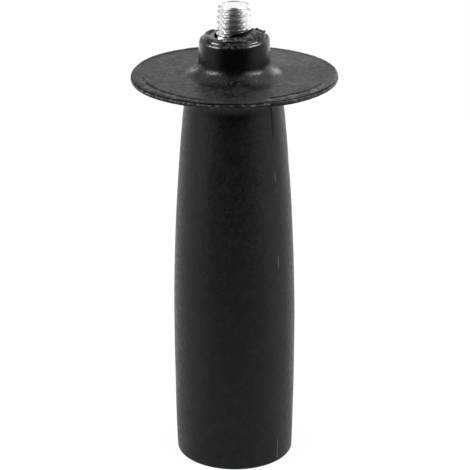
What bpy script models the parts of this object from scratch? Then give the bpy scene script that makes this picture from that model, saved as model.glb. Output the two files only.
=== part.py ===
"""Side handle of a small angle grinder: a black moulding, with its guard flange and collar, over an M8 bolt.

The handle stands on the open end of its grip, with the bolt's thread pointing up. The origin is the centre of
that end, +Z runs up the axis, and -Y is the side that faces the viewer.
"""

import math

import bmesh
import bpy

MM = 0.001

# Grip: a long, shallow barrel, in millimetres like every size here. Heights are above the base plane.
GRIP_LENGTH = 91.1  # base plane to the underside of the flange
GRIP_NECK_DIAMETER = 21.2  # just under the flange
GRIP_WIDEST_DIAMETER = 28.2
GRIP_WIDEST_HEIGHT = 30.0
GRIP_BASE_DIAMETER = 27.3
GRIP_BASE_EDGE = 0.8  # rounding of the outer edge at the base
NECK_FILLET = 2.4

# Core: the pocket that the mould's core pin leaves in the grip, open at the base
GRIP_WALL = 3.2  # at the mouth of the core
CORE_DRAFT = 1.5  # degrees
CORE_ROOF = 6.0  # plastic between the core and the bolt's head
CORE_MOUTH_CHAMFER = 0.5

# Guard flange, with a ridge above and a ridge below the line where the mould halves meet
FLANGE_DIAMETER = 46.4
FLANGE_THICKNESS = 1.4
UPPER_RIDGE_ROUND = 0.45
LOWER_RIDGE_ROUND = 0.4
PARTING_GROOVE_DEPTH = 0.16
PARTING_GROOVE_WIDTH = 0.26
LIP_GROOVE_DEPTH = 0.12  # fine groove in the top face, just inside the rim
LIP_GROOVE_WIDTH = 0.3

# Collar that stands on the flange, and the ring on top of it that meets the tool
COLLAR_WALL = 3.9  # from the thread's crests to the outside of the collar, at its top
COLLAR_HEIGHT = 8.1
COLLAR_DRAFT = 1.3  # degrees
COLLAR_FILLET = 3.1
COLLAR_EDGE_ROUND = 0.45
RING_LEDGE = 0.8  # step between the collar's side and the ring
RING_HEIGHT = 0.75
RING_EDGE_ROUND = 0.3

# Recess round the thread. Plastic crept up the bolt on the right: the lip is high there and low in front, and
# a burr stands on the ring beside it. The front left is wider. Angles are anticlockwise from +X.
RECESS_GAP = 0.65
RECESS_DEPTH = 2.0
RECESS_BULGE = 0.4
BULGE_SIDE = -125.0
BULGE_SPREAD = 32.0
LIP_RISE = 0.25  # of the lip's middle over the ring
LIP_SLANT = 1.15  # how far its high side is above the middle, and its low side below
LIP_HIGH_SIDE = -12.0
BURR_RISE = 0.6
BURR_SIDE = -5.0
BURR_SPREAD = 31.0

# Bolt, moulded in: an M8 hexagon bolt, its head inside the neck of the grip
THREAD_DIAMETER = 8.0
THREAD_PITCH = 1.25
THREAD_LENGTH = 15.9
SHANK_DIAMETER = 7.2  # the blank that the thread was rolled on
STUD_PROJECTION = 6.8  # above the ring
BOLT_LENGTH = 30.0  # under its head
HEAD_ACROSS_FLATS = 13.0
HEAD_HEIGHT = 5.3
TIP_CHAMFER = 0.7
BOLT_CLEARANCE = 0.3  # between the bolt and the plastic round it

# Shares of the pitch in the profile of a metric thread, and how far its ridge is sunk in the bolt's core
THREAD_DEPTH_SHARE = 0.6134
CREST_FLAT_SHARE = 1 / 8
RIDGE_FOOT_SHARE = 0.08

# How finely round forms are cut into flats
ROUND_STEPS = 64
THREAD_STEPS = 32
GRIP_STEPS = 12
FILLET_STEPS = 5
EDGE_STEPS = 3
LIP_STEPS = 3

# Heights and radii that follow from the driving sizes
flange_top = GRIP_LENGTH + FLANGE_THICKNESS
shoulder_height = flange_top + COLLAR_HEIGHT
ring_top = shoulder_height + RING_HEIGHT
stud_tip = ring_top + STUD_PROJECTION
head_top = stud_tip - BOLT_LENGTH
head_bottom = head_top - HEAD_HEIGHT
thread_start = stud_tip - THREAD_LENGTH
core_top = head_bottom - BOLT_CLEARANCE - CORE_ROOF

flange_radius = FLANGE_DIAMETER / 2
thread_radius = THREAD_DIAMETER / 2
shank_radius = SHANK_DIAMETER / 2
root_radius = thread_radius - THREAD_DEPTH_SHARE * THREAD_PITCH
bore_radius = thread_radius + BOLT_CLEARANCE
recess_radius = thread_radius + RECESS_GAP
collar_radius = thread_radius + COLLAR_WALL
ring_radius = collar_radius - RING_LEDGE
ring_flat_radius = ring_radius - RING_EDGE_ROUND
lip_radius = (recess_radius + ring_flat_radius) / 2


def arc(centre, radius, start, end, steps):
    """Points (radius, height) of a circular arc, its angles in degrees from straight out."""
    turns = [math.radians(start + (end - start) * i / steps) for i in range(steps + 1)]
    return [(centre[0] + radius * math.cos(t), centre[1] + radius * math.sin(t)) for t in turns]


def grip_radius(height):
    """Outside of the grip: widest at one height, and a parabola above and below it."""
    widest = GRIP_WIDEST_DIAMETER / 2
    if height < GRIP_WIDEST_HEIGHT:
        end, reach = GRIP_BASE_DIAMETER / 2, GRIP_WIDEST_HEIGHT
    else:
        end, reach = GRIP_NECK_DIAMETER / 2, GRIP_LENGTH - GRIP_WIDEST_HEIGHT
    return widest + (end - widest) * ((height - GRIP_WIDEST_HEIGHT) / reach) ** 2


def core_profile():
    """The core's pocket, from its domed top on the axis down to its mouth at the base."""
    mouth = GRIP_BASE_DIAMETER / 2 - GRIP_WALL
    top = mouth - math.tan(math.radians(CORE_DRAFT)) * core_top
    dome = top / 2
    points = [(0.0, core_top)]
    points += arc((top - dome, core_top - dome), dome, 90, 0, FILLET_STEPS)
    points += [(mouth, CORE_MOUTH_CHAMFER), (mouth + CORE_MOUTH_CHAMFER, 0.0)]
    return points


def grip_profile():
    """The base's edge, the barrel and the fillet under the flange."""
    base_radius = GRIP_BASE_DIAMETER / 2
    edge_centre = (base_radius - GRIP_BASE_EDGE, GRIP_BASE_EDGE)
    points = arc(edge_centre, GRIP_BASE_EDGE, -90, 0, EDGE_STEPS)
    top = GRIP_LENGTH - NECK_FILLET
    for i in range(1, GRIP_STEPS + 1):
        height = GRIP_BASE_EDGE + (top - GRIP_BASE_EDGE) * i / GRIP_STEPS
        points.append((grip_radius(height), height))
    fillet_centre = (grip_radius(top) + NECK_FILLET, top)
    points += arc(fillet_centre, NECK_FILLET, 180, 90, FILLET_STEPS)[1:]
    return points


def rim_profile():
    """The flange's edge: lower ridge, parting groove, upper ridge and the fine groove inside it."""
    outside = flange_radius - LOWER_RIDGE_ROUND
    points = arc((outside, GRIP_LENGTH + LOWER_RIDGE_ROUND), LOWER_RIDGE_ROUND, -90, 0, EDGE_STEPS)
    groove = flange_top - UPPER_RIDGE_ROUND - PARTING_GROOVE_WIDTH / 2
    points += [
        (flange_radius, groove - PARTING_GROOVE_WIDTH / 2),
        (flange_radius - PARTING_GROOVE_DEPTH, groove),
    ]
    ridge_centre = (flange_radius - UPPER_RIDGE_ROUND, flange_top - UPPER_RIDGE_ROUND)
    points += arc(ridge_centre, UPPER_RIDGE_ROUND, 0, 90, EDGE_STEPS)
    inside = ridge_centre[0] - LIP_GROOVE_WIDTH
    points += [
        ((ridge_centre[0] + inside) / 2, flange_top - LIP_GROOVE_DEPTH),
        (inside, flange_top),
    ]
    return points


def collar_profile():
    """The fillet on the flange, the drafted side, its rounded edge and the ledge inside it."""
    lean = math.tan(math.radians(COLLAR_DRAFT))
    foot = collar_radius + lean * (COLLAR_HEIGHT - COLLAR_FILLET)
    fillet_centre = (foot + COLLAR_FILLET, flange_top + COLLAR_FILLET)
    points = arc(fillet_centre, COLLAR_FILLET, 270, 180, FILLET_STEPS)
    edge_centre = (collar_radius - COLLAR_EDGE_ROUND, shoulder_height - COLLAR_EDGE_ROUND)
    points += arc(edge_centre, COLLAR_EDGE_ROUND, 0, 90, EDGE_STEPS)
    return points


def ring_profile():
    """The raised ring, its flat top, the lip round the bolt and the floor of the recess, in to the axis."""
    edge_centre = (ring_flat_radius, ring_top - RING_EDGE_ROUND)
    points = [(ring_radius, shoulder_height)]
    points += arc(edge_centre, RING_EDGE_ROUND, 0, 90, EDGE_STEPS)
    for i in range(LIP_STEPS + 1):
        points.append((lip_radius + (recess_radius - lip_radius) * i / LIP_STEPS, ring_top))
    floor = ring_top - RECESS_DEPTH
    points += [(recess_radius, floor), (0.0, floor)]
    return points


def eased(share):
    """An even S from 0 to 1, and flat beyond both."""
    share = min(max(share, 0.0), 1.0)
    return share * share * (3 - 2 * share)


def on_side(angle, side, spread):
    """1 towards that side of the ring and 0 away from it, all in degrees."""
    away = abs((angle - side + 180) % 360 - 180)
    return eased((1.25 * spread - away) / (0.5 * spread))


def shape_ring(mesh):
    """Gives the ring its uneven lip, the burr on its edge and the wider part of its recess."""
    tolerance = 0.001
    for vert in mesh.verts:
        radius = math.hypot(vert.co.x, vert.co.y) / MM
        height = vert.co.z / MM
        angle = math.degrees(math.atan2(vert.co.y, vert.co.x))
        if radius > ring_radius + tolerance or height < ring_top - RECESS_DEPTH - tolerance:
            continue
        inward = eased((lip_radius - radius) / (lip_radius - recess_radius))
        lip = LIP_RISE + LIP_SLANT * math.cos(math.radians(angle - LIP_HIGH_SIDE))
        burr = BURR_RISE * on_side(angle, BURR_SIDE, BURR_SPREAD)
        upward = min(max((height - shoulder_height) / RING_HEIGHT, 0.0), 1.0)
        vert.co.z += upward * (inward * lip + (1 - inward) * burr) * MM
        if abs(radius - recess_radius) < tolerance:
            wider = 1 + RECESS_BULGE * on_side(angle, BULGE_SIDE, BULGE_SPREAD) / radius
            vert.co.x *= wider
            vert.co.y *= wider


def new_object(name, mesh, material=None, helper=False):
    """Puts the mesh into the scene as one object, smooth where it curves and sharp at its corners."""
    data = bpy.data.meshes.new(name)
    bmesh.ops.recalc_face_normals(mesh, faces=mesh.faces)
    mesh.to_mesh(data)
    mesh.free()
    data.shade_smooth()
    data.set_sharp_from_angle(angle=math.radians(35))
    if material:
        data.materials.append(material)
    body = bpy.data.objects.new(name, data)
    bpy.context.scene.collection.objects.link(body)
    if helper:
        body.hide_render = True
        body.display_type = "WIRE"
    return body


def turned(profile, steps):
    """A closed body turned about the Z axis from points (radius, height) that start and end on the axis."""
    mesh = bmesh.new()
    points = [mesh.verts.new((radius * MM, 0.0, height * MM)) for radius, height in profile]
    edges = [mesh.edges.new(pair) for pair in zip(points, points[1:])]
    bmesh.ops.spin(
        mesh,
        geom=points + edges,
        cent=(0, 0, 0),
        axis=(0, 0, 1),
        angle=2 * math.pi,
        steps=steps,
        use_merge=True,
    )
    bmesh.ops.remove_doubles(mesh, verts=mesh.verts, dist=0.0001 * MM)
    return mesh


def hexagon(across_flats, bottom, top):
    """An upright hexagonal prism."""
    mesh = bmesh.new()
    corner = across_flats / 2 / math.cos(math.pi / 6)
    made = bmesh.ops.create_cone(
        mesh,
        cap_ends=True,
        segments=6,
        radius1=corner * MM,
        radius2=corner * MM,
        depth=(top - bottom) * MM,
    )
    bmesh.ops.translate(mesh, verts=made["verts"], vec=(0, 0, (top + bottom) / 2 * MM))
    return mesh


def shank_profile():
    """The bolt without its thread: the plain shank, and above it the thread's core, up past the tip."""
    foot = head_top - HEAD_HEIGHT / 2
    past_tip = stud_tip + THREAD_PITCH
    return [
        (0.0, foot),
        (shank_radius, foot),
        (shank_radius, thread_start),
        (root_radius, thread_start + shank_radius - root_radius),
        (root_radius, past_tip),
        (0.0, past_tip),
    ]


def tip_profile():
    """What bounds the bolt's tip: the flat end and the chamfer, carried down clear of the crests."""
    flat = thread_radius - TIP_CHAMFER
    clear = thread_radius + THREAD_PITCH
    below = head_bottom
    return [
        (0.0, below),
        (clear, below),
        (clear, stud_tip - (clear - flat)),
        (flat, stud_tip),
        (0.0, stud_tip),
    ]


def thread_ridge():
    """The thread's ridge: a trapezoid carried up a right-hand helix, its foot sunk in the bolt's core."""
    crest = CREST_FLAT_SHARE * THREAD_PITCH / 2
    sunk = RIDGE_FOOT_SHARE * THREAD_PITCH
    foot = crest + (thread_radius - root_radius + sunk) * math.tan(math.radians(30))
    section = [
        (root_radius - sunk, -foot),
        (thread_radius, -crest),
        (thread_radius, crest),
        (root_radius - sunk, foot),
    ]
    mesh = bmesh.new()
    turns = (stud_tip - thread_start) / THREAD_PITCH + 1
    stations = []
    for i in range(math.ceil(turns * THREAD_STEPS) + 1):
        angle = 2 * math.pi * i / THREAD_STEPS
        height = thread_start + THREAD_PITCH * i / THREAD_STEPS
        across = (math.cos(angle), math.sin(angle))
        points = [(radius * across[0], radius * across[1], height + rise) for radius, rise in section]
        stations.append([mesh.verts.new([value * MM for value in point]) for point in points])
    for low, high in zip(stations, stations[1:]):
        for a, b in zip(range(len(section)), [*range(1, len(section)), 0]):
            mesh.faces.new((low[a], low[b], high[b], high[a]))
    mesh.faces.new(stations[0])
    mesh.faces.new(stations[-1])
    return mesh


def metal(name):
    material = bpy.data.materials.new(name)
    material.use_nodes = True
    shader = material.node_tree.nodes["Principled BSDF"]
    shader.inputs["Base Color"].default_value = (0.78, 0.79, 0.80, 1.0)
    shader.inputs["Metallic"].default_value = 1.0
    shader.inputs["Roughness"].default_value = 0.22
    return material


def plastic(name):
    material = bpy.data.materials.new(name)
    material.use_nodes = True
    shader = material.node_tree.nodes["Principled BSDF"]
    shader.inputs["Base Color"].default_value = (0.017, 0.017, 0.018, 1.0)
    shader.inputs["Metallic"].default_value = 0.0
    shader.inputs["Roughness"].default_value = 0.45
    return material


def combine(body, tool, operation):
    """Joins the tool to the body, cuts it out of the body, or keeps only what is in both."""
    modifier = body.modifiers.new(tool.name, "BOOLEAN")
    modifier.operation = operation
    modifier.object = tool


def make_moulding():
    """The one-piece plastic part: turned outside and core, then the pockets that the bolt leaves in it."""
    profile = core_profile() + grip_profile() + rim_profile() + collar_profile() + ring_profile()
    mesh = turned(profile, ROUND_STEPS)
    shape_ring(mesh)
    body = new_object("handle_moulding", mesh, plastic("black plastic"))

    overlap = HEAD_HEIGHT / 2
    floor = ring_top - RECESS_DEPTH
    bore = [
        (0.0, head_top - overlap),
        (bore_radius, head_top - overlap),
        (bore_radius, floor + RECESS_DEPTH / 2),
        (0.0, floor + RECESS_DEPTH / 2),
    ]
    combine(body, new_object("bore_tool", turned(bore, THREAD_STEPS), helper=True), "DIFFERENCE")
    pocket = hexagon(
        HEAD_ACROSS_FLATS + 2 * BOLT_CLEARANCE, head_bottom - BOLT_CLEARANCE, head_top + BOLT_CLEARANCE
    )
    combine(body, new_object("head_pocket_tool", pocket, helper=True), "DIFFERENCE")
    return body


def make_stud():
    """The bolt: shank with its thread, trimmed at the tip, and the hexagon head in one piece with it."""
    body = new_object("threaded_stud", turned(shank_profile(), THREAD_STEPS), metal("bright zinc"))
    combine(body, new_object("thread_tool", thread_ridge(), helper=True), "UNION")
    combine(body, new_object("tip_tool", turned(tip_profile(), THREAD_STEPS), helper=True), "INTERSECT")
    head = hexagon(HEAD_ACROSS_FLATS, head_bottom, head_top)
    combine(body, new_object("head_tool", head, helper=True), "UNION")
    return body


def main():
    for old in list(bpy.data.objects):
        bpy.data.objects.remove(old)
    make_moulding()
    make_stud()


main()
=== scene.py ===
# %% [markdown]
# # The side handle of a small angle grinder
# The real handle is one black moulding over a zinc-plated bolt. The moulding is a grip, a round guard flange
# and a collar with a seating ring; the bolt's thread screws into the tool. Both are turned forms with small
# faults: the mould's parting line, the flash along the flange's edge, and the plastic that crept up the
# thread. This script draws the clean forms by rule, because a rule is easy to check against a size, and then
# adds the faults of the mould.

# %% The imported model, which every piece is fitted to
import math

import bpy
import numpy as np
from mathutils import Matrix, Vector, noise


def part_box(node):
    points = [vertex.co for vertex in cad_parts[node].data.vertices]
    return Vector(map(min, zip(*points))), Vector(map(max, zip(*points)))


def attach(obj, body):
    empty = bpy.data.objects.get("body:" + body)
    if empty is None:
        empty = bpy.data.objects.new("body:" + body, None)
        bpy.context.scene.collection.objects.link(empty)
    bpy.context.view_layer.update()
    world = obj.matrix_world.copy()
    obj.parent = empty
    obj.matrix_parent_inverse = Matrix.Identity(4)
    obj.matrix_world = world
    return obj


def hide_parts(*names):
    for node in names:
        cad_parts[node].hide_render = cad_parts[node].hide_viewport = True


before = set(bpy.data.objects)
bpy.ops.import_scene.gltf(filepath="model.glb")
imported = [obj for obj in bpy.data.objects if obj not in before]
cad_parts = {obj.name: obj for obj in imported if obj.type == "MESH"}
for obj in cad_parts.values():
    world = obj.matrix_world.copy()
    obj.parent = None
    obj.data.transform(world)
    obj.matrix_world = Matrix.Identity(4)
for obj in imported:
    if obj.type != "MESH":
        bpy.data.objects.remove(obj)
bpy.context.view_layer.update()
MM = 0.001
moulding_low, moulding_high = (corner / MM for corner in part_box("handle_moulding"))
stud_low, stud_high = (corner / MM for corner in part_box("threaded_stud"))
print(f"moulding {moulding_high.x - moulding_low.x:.1f} mm across, thread's tip at {stud_high.z:.2f} mm")

# %% [markdown]
# ## Sizes
# All sizes are in millimetres and follow the solids, so that each piece lies where its solid does. Heights
# are above the surface that the handle stands on. What the frame can say is read from it; the rest are the
# driving sizes of the turned form.

# %% Sizes of the moulding and the bolt
FLANGE_RADIUS = moulding_high.x
FLANGE_UNDERSIDE = 91.1
FLANGE_TOP = 92.5
GRIP_NECK_RADIUS = 10.6
GRIP_WIDEST_RADIUS = 14.1
GRIP_WIDEST_HEIGHT = 30.0
GRIP_BASE_RADIUS = 13.65
GRIP_BASE_EDGE = 0.6  # crisper than the solid's 0.8
NECK_FILLET = 2.4
CORE_MOUTH_RADIUS = 10.45
CORE_DRAFT = 1.5
COLLAR_RADIUS = 7.9
COLLAR_TOP = 100.6
COLLAR_DRAFT = 1.3
COLLAR_FILLET = 3.1
COLLAR_EDGE = 0.6
RING_RADIUS = 7.1
RING_TOP = 101.35
RING_STEP = 0.28
RING_WALL = RING_RADIUS - RING_STEP - 0.02
RECESS_RADIUS = 4.65
RECESS_DEPTH = 2.0

STUD_TIP = stud_high.z
THREAD_RADIUS = 4.0
THREAD_PITCH = 1.25
THREAD_DEPTH = 0.767
THREAD_LENGTH = 15.9
SHANK_RADIUS = 3.6
BOLT_LENGTH = 30.0
TIP_CHAMFER = 0.7
HEAD_APOTHEM = stud_high.x
HEAD_BOTTOM = stud_low.z
BOLT_CLEARANCE = 0.3
head_top = STUD_TIP - BOLT_LENGTH
print(f"bolt head from {HEAD_BOTTOM:.2f} to {head_top:.2f} mm")

# %% [markdown]
# ## Camera
# The camera looks down on the handle from a little above. A long lens, far away, keeps the grip's sides
# almost straight. Its distance, tilt and field of view come from fitting the handle's outline to the
# photograph. It doesn't roll, so the handle's axis stays upright, and a small shift of the lens stands for the
# photograph's crop.

# %% Camera
PICTURE_SIDE = 470
FOCAL_PIXELS = 1893.7
CAMERA_DISTANCE = 438.4
CAMERA_TILT = 21.56  # degrees, downwards
AIM_HEIGHT = 48.8
AIM_OFFSET = 0.13
AXIS_ROW = 255.2  # the row of the picture that the lens's axis meets


def make_camera():
    data = bpy.data.cameras.new("camera")
    data.sensor_width = 36.0
    data.lens = data.sensor_width * FOCAL_PIXELS / PICTURE_SIDE
    data.shift_y = (AXIS_ROW - PICTURE_SIDE / 2) / PICTURE_SIDE
    data.clip_start = 0.01
    camera = bpy.data.objects.new("camera", data)
    bpy.context.scene.collection.objects.link(camera)
    tilt = math.radians(CAMERA_TILT)
    camera.location = (
        AIM_OFFSET * MM,
        -CAMERA_DISTANCE * math.cos(tilt) * MM,
        (AIM_HEIGHT + CAMERA_DISTANCE * math.sin(tilt)) * MM,
    )
    camera.rotation_euler = (math.pi / 2 - tilt, 0.0, 0.0)
    bpy.context.scene.camera = camera
    return camera


camera = make_camera()
print(f"camera with a {camera.data.lens:.0f} mm lens, {camera.location.length:.3f} m away")

# %% [markdown]
# ## Nodes, the short way
# Shader trees and geometry trees are wired alike. These helpers add one node, set or link its sockets and
# hand back its output, so that a formula reads as a formula. Nodes could be placed by hand in the editor just
# as well, but a tree that is written down can be read, compared and built again.

# %% Helpers for node trees
def feed(tree, socket, value):
    """Links a socket to another node's output, or sets it to a plain value."""
    if isinstance(value, bpy.types.NodeSocket):
        tree.links.new(value, socket)
    else:
        socket.default_value = value


def add_node(tree, kind, inputs=None, **settings):
    node = tree.nodes.new(kind)
    for name, value in settings.items():
        setattr(node, name, value)
    for name, value in (inputs or {}).items():
        feed(tree, node.inputs[name], value)
    return node


def calc(tree, operation, *values):
    """One Math node; the values are numbers or other nodes' outputs."""
    node = add_node(tree, "ShaderNodeMath", operation=operation)
    for socket, value in zip(node.inputs, values):
        feed(tree, socket, value)
    return node.outputs[0]


def times(tree, first, *others):
    """The product of all values."""
    for value in others:
        first = calc(tree, "MULTIPLY", first, value)
    return first


def total(tree, first, *others):
    """The sum of all values."""
    for value in others:
        first = calc(tree, "ADD", first, value)
    return first


def fade(tree, value, low, high, at_low=0.0, at_high=1.0, smooth=True):
    """Carries a value from low..high to at_low..at_high, and holds it beyond both."""
    node = add_node(
        tree,
        "ShaderNodeMapRange",
        {"Value": value, "From Min": low, "From Max": high, "To Min": at_low, "To Max": at_high},
        interpolation_type="SMOOTHSTEP" if smooth else "LINEAR",
    )
    return node.outputs["Result"]


def vector_calc(tree, operation, first, second):
    """One Vector Math node, and its number where the operation gives a number."""
    node = add_node(tree, "ShaderNodeVectorMath", {0: first, 1: second}, operation=operation)
    return node.outputs["Value" if operation in ("DISTANCE", "DOT_PRODUCT") else "Vector"]


def choose(tree, share, first, second):
    """Mixes two shaders: all of the first where share is 0, all of the second where it is 1."""
    return add_node(tree, "ShaderNodeMixShader", {0: share, 1: first, 2: second}).outputs[0]


# %% [markdown]
# ## Surroundings
# Product photographs of black plastic are lit by what the plastic mirrors. Tall soft boxes stand left and
# right, patchier light stands behind, and the side that the camera is on stays dark. That is what draws the
# dark band down the middle of the grip and of the bright thread. The world shows plain white to the camera,
# and this studio to everything that mirrors it. The boxes could be glowing planes too, but fades of the
# direction give soft edges without any.

# %% The studio, as the handle mirrors it
DARK_SIDE = 0.01
SIDE_LIGHT = 1.15
DARK_TURN = 4.0  # degrees, from the camera's side to the left
DARK_SPREAD = 0.84  # half width of the dark side, for each unit towards the camera
DARK_SPREAD_HIGH = 0.55  # what is left of that width high up
CEILING_SPREAD = 0.3  # half width of the dark strip overhead, for each unit of height
LOW_LIGHT_LEFT = 0.48  # what is left of the side light at the horizon
LOW_LIGHT_RIGHT = 0.2
BEHIND_LEFT = 0.5  # light behind the handle, as a share of the side light
BEHIND_RIGHT = 1.7
BEHIND_RIGHT_HIGH = 0.3
BEHIND_ABOVE = 1.3
BEHIND_ASIDE = 0.7  # what is left of it on the way to the sides


def side_boxes(tree, x, y, z):
    """The light of both sides, with a dark wedge towards the camera and a dark strip overhead between them."""
    wedge = times(tree, y, fade(tree, z, 0.35, 0.75, -DARK_SPREAD, -DARK_SPREAD_HIGH * DARK_SPREAD))
    strip = times(tree, z, CEILING_SPREAD, fade(tree, z, 0.6, 0.8))
    limit = calc(tree, "MAXIMUM", calc(tree, "MAXIMUM", wedge, strip), 0.02)
    aside = calc(tree, "DIVIDE", calc(tree, "ABSOLUTE", x), limit)
    return fade(tree, aside, 0.85, 1.15, DARK_SIDE, SIDE_LIGHT)


def dim_horizon(tree, x, y, z):
    """Less light low down at the sides and in front."""
    low = fade(tree, x, -0.3, 0.3, LOW_LIGHT_LEFT, LOW_LIGHT_RIGHT)
    low = fade(tree, z, 0.0, 0.32, low, 1.0)
    return calc(tree, "MAXIMUM", low, fade(tree, y, 0.15, 0.5))


def behind_handle(tree, x, y, z):
    """Behind the handle the light is dim on the left, bright but low on the right, and bright high above."""
    aside = calc(tree, "ABSOLUTE", x)
    left = fade(tree, z, 0.62, 0.76, BEHIND_LEFT, BEHIND_ABOVE)
    right = fade(tree, z, 0.33, 0.46, BEHIND_RIGHT, BEHIND_RIGHT_HIGH)
    right = calc(tree, "MAXIMUM", right, fade(tree, z, 0.66, 0.78, 0.0, BEHIND_ABOVE))
    share = fade(tree, x, -0.3, 0.25, left, right)
    share = times(tree, share, fade(tree, aside, 0.35, 0.55, 1.0, BEHIND_ASIDE))
    reach = (fade(tree, y, 0.2, 0.75), fade(tree, aside, 0.14, 0.26), fade(tree, z, 0.08, 0.26))
    missing = times(tree, calc(tree, "SUBTRACT", 1.0, share), *reach)
    return calc(tree, "SUBTRACT", 1.0, missing)


# %% World
WHITE = (1.0, 1.0, 1.0, 1.0)
FILL_ABOVE = 0.6
FILL_BELOW = 0.1
LEFT_TO_RIGHT = (0.88, 1.25)  # the right side of the studio is the brighter one


def background(tree, strength):
    node = add_node(tree, "ShaderNodeBackground", {"Color": WHITE, "Strength": strength})
    return node.outputs[0]


def make_world():
    """Plain white to the camera, the studio to what mirrors it, and a soft fill from above to all the rest."""
    world = bpy.data.worlds.new("studio")
    world.use_nodes = True
    bpy.context.scene.world = world
    tree = world.node_tree
    tree.nodes.clear()
    direction = add_node(tree, "ShaderNodeTexCoord").outputs["Generated"]
    angle = (0.0, 0.0, math.radians(DARK_TURN))
    direction = add_node(tree, "ShaderNodeMapping", {"Vector": direction, "Rotation": angle}).outputs[0]
    parts = add_node(tree, "ShaderNodeSeparateXYZ", {"Vector": direction})
    x, y, z = (parts.outputs[name] for name in "XYZ")
    glow = times(tree, side_boxes(tree, x, y, z), dim_horizon(tree, x, y, z), behind_handle(tree, x, y, z))
    glow = times(tree, glow, fade(tree, x, -0.12, 0.16, *LEFT_TO_RIGHT))
    path = add_node(tree, "ShaderNodeLightPath").outputs
    fill = background(tree, fade(tree, z, -0.1, 0.7, FILL_BELOW, FILL_ABOVE))
    shown = choose(tree, path["Is Glossy Ray"], fill, background(tree, glow))
    shown = choose(tree, path["Is Camera Ray"], shown, background(tree, 1.0))
    add_node(tree, "ShaderNodeOutputWorld", {"Surface": shown})


make_world()
print(f"world: {DARK_SIDE} at the dark side, {SIDE_LIGHT} elsewhere")

# %% [markdown]
# The handle stands on a white table that shows only a weak shadow. A plain matt floor would do, but then its
# white would depend on the lamps, and the plastic would mirror the same white all round. So the floor is
# mostly its own white to the camera, and shows the plastic a table that is lit close by, under the side boxes
# and behind.

# %% Floor
FLOOR_RADIUS = 900.0
FLOOR_COLOUR = (0.9, 0.9, 0.9, 1.0)
FLOOR_WHITE = 1.06
FLOOR_OWN_SHARE = 0.85  # how much of what the camera sees is the floor's own white
LIT_FLOOR = (60.0, 260.0)  # from the axis, where the mirrored floor goes from lit to dark
LIT_FLOOR_GLOW = (0.62, 0.03)
FAR_FLOOR = (350.0, 700.0)  # where the boxes' light on it goes down to that of the horizon
BOX_FOOT = (355.0, 385.0)  # where it gets brighter under the boxes
BOX_FOOT_GLOW = 1.35
SIDE_FLOOR_GLOW = 0.7 * SIDE_LIGHT
BACK_FLOOR_GLOW = 1.45


def mirrored_floor(tree):
    place = add_node(tree, "ShaderNodeTexCoord").outputs["Object"]
    away = vector_calc(tree, "DISTANCE", place, (0.0, 0.0, 0.0))
    y = add_node(tree, "ShaderNodeSeparateXYZ", {"Vector": place}).outputs["Y"]
    behind = calc(tree, "DIVIDE", y, away)
    close_by = fade(tree, away, LIT_FLOOR[0] * MM, LIT_FLOOR[1] * MM, *LIT_FLOOR_GLOW)
    by_boxes = fade(tree, behind, -0.85, -0.3, 0.0, SIDE_FLOOR_GLOW)
    far = fade(tree, away, FAR_FLOOR[0] * MM, FAR_FLOOR[1] * MM, 1.0, LOW_LIGHT_LEFT)
    far = calc(tree, "MAXIMUM", far, fade(tree, behind, 0.2, 0.7, 0.0, BACK_FLOOR_GLOW))
    foot = fade(tree, away, BOX_FOOT[0] * MM, BOX_FOOT[1] * MM, 1.0, BOX_FOOT_GLOW)
    return calc(tree, "MAXIMUM", close_by, times(tree, by_boxes, times(tree, far, foot)))


def make_floor():
    bpy.ops.mesh.primitive_circle_add(vertices=96, radius=FLOOR_RADIUS * MM, fill_type="NGON")
    floor = bpy.context.object
    floor.name = "floor"
    material = bpy.data.materials.new("floor")
    material.use_nodes = True
    tree = material.node_tree
    tree.nodes.clear()
    path = add_node(tree, "ShaderNodeLightPath").outputs
    matt = add_node(tree, "ShaderNodeBsdfDiffuse", {"Color": FLOOR_COLOUR}).outputs[0]
    own = add_node(tree, "ShaderNodeEmission", {"Color": WHITE, "Strength": FLOOR_WHITE}).outputs[0]
    shown = choose(tree, times(tree, path["Is Camera Ray"], FLOOR_OWN_SHARE), matt, own)
    mirrored = add_node(tree, "ShaderNodeEmission", {"Strength": mirrored_floor(tree)}).outputs[0]
    shown = choose(tree, path["Is Glossy Ray"], shown, mirrored)
    add_node(tree, "ShaderNodeOutputMaterial", {"Surface": shown})
    floor.data.materials.append(material)
    return floor


floor = make_floor()
print(f"floor {floor.dimensions.x:.1f} m across")

# %% [markdown]
# The world only shows its boxes to what mirrors them. Two area lamps at about the same places light the matt
# part of the plastic, so that the greys of the flange come out evenly from left to right.

# %% Lamps
LAMP_DISTANCE = 0.6  # metres, as the size below is
LAMP_SIZE = (0.4, 0.07)


def make_lamp(name, azimuth, elevation, power):
    """A soft box at this azimuth, in degrees to the right of the camera, turned towards the handle."""
    data = bpy.data.lights.new(name, "AREA")
    data.shape = "RECTANGLE"
    data.size, data.size_y = LAMP_SIZE
    data.energy = power
    lamp = bpy.data.objects.new(name, data)
    bpy.context.scene.collection.objects.link(lamp)
    sideways, rise = math.radians(azimuth), math.radians(elevation)
    away = Vector((math.sin(sideways) * math.cos(rise), -math.cos(sideways) * math.cos(rise), math.sin(rise)))
    target = Vector((0.0, 0.0, FLANGE_TOP * MM))
    lamp.location = target + away * LAMP_DISTANCE
    aim = target - lamp.location
    lamp.rotation_euler = aim.to_track_quat("-Z", "Y").to_euler()
    return lamp


lamps = [make_lamp("left_box", -74.0, 22.0, 2.7), make_lamp("right_box", 71.0, 22.6, 2.6)]
print("soft boxes:", ", ".join(f"{lamp.name} of {lamp.data.energy:.1f} W" for lamp in lamps))

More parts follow.
